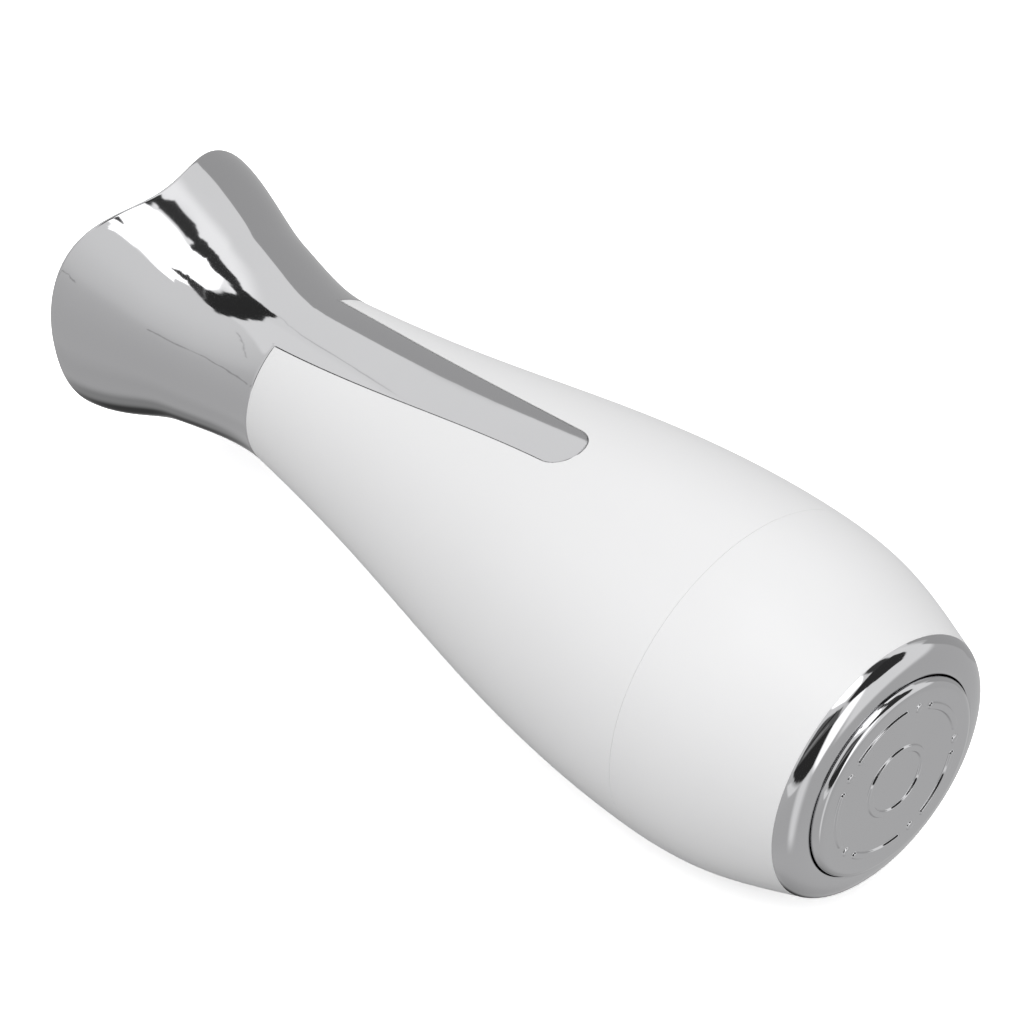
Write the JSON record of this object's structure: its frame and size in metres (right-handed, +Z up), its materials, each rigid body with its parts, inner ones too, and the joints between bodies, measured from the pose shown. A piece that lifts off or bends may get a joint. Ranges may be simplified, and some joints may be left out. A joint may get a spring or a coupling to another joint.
{
  "type": "facial massager",
  "caption": "Hand-held facial massager: round chrome massage plate that gives and vibrates, smooth white body, flared chrome tail with a tongue along the grip.",
  "frame": {"origin": "under the middle of the whole massager, at its lowest point, where it lies on a table", "axes": "+X along the body from the flared tail to the massage plate, +Y across it, +Z up, through the tongue; the power button is underneath"},
  "size_m": [0.15, 0.0506, 0.0505],
  "materials": {
    "white_shell": "satin white, very fine moulded surface",
    "white_button": "satin white",
    "bright_chrome": "mirror-bright plating",
    "end_cap": "satin white",
    "inner_plastic": "moulded, unpainted",
    "dark_rubber": "soft black silicone",
    "spring_steel": "drawn and bent, bare",
    "screw_steel": "zinc plated",
    "circuit_board": "green solder mask",
    "chip_black": "moulded epoxy",
    "plunger_black": "moulded",
    "cell_wrap": "heat-shrink film",
    "nickel_tab": "nickel strip",
    "contact_brass": "turned",
    "motor_can": "drawn can",
    "wire_red": "insulated wire",
    "clear_lens": "milky clear light guide",
    "lamp_white": "moulded lamp body"
  },
  "bodies": {
    "housing": {"body_sleeve": "white_shell", "head_collar": "white_shell", "tail_shell": "bright_chrome", "bezel_ring": "bright_chrome", "tail_end_cap": "end_cap", "chassis": "inner_plastic", "spider": "inner_plastic", "charging_socket": "inner_plastic", "tact_switch": "inner_plastic", "plate_seal": "dark_rubber", "collar_seal": "dark_rubber", "plate_springs": "spring_steel", "battery_clip": "spring_steel", "tail_screws": "screw_steel", "board_screws": "screw_steel", "spider_screws": "screw_steel", "main_board": "circuit_board", "charge_board": "circuit_board", "board_components": "chip_black", "battery_cell": "cell_wrap", "battery_tabs": "nickel_tab", "hand_contact": "contact_brass", "charge_wires": "wire_red", "lamp_lens": "clear_lens", "indicator_lamp": "lamp_white"},
    "power_button": {"power_button": "white_button", "switch_plunger": "plunger_black"},
    "massage_head": {"massage_plate": "bright_chrome", "plate_carrier": "inner_plastic", "post_screws": "screw_steel", "motor_clip": "spring_steel", "motor": "motor_can"},
    "motor_rotor": {"motor_shaft": "motor_can", "motor_weight": "contact_brass"}
  },
  "joints": [
    {"name": "button_press", "type": "slide", "parent": "housing", "child": "power_button", "axis": [0, 0, 1], "range_m": [0, 0.0007], "stiffness_N_per_m": 1500, "springref_m": -0.0004},
    {"name": "plate_press", "type": "slide", "parent": "housing", "child": "massage_head", "axis": [-1, 0, 0], "range_m": [0, 0.0008], "stiffness_N_per_m": 4000, "springref_m": -0.0006, "deforming": ["plate_springs"]},
    {"name": "motor_spin", "type": "hinge", "parent": "massage_head", "child": "motor_rotor", "pos_m": [0.06445, 0, 0.02527], "axis": [0, 1, 0], "continuous": true}
  ]
}
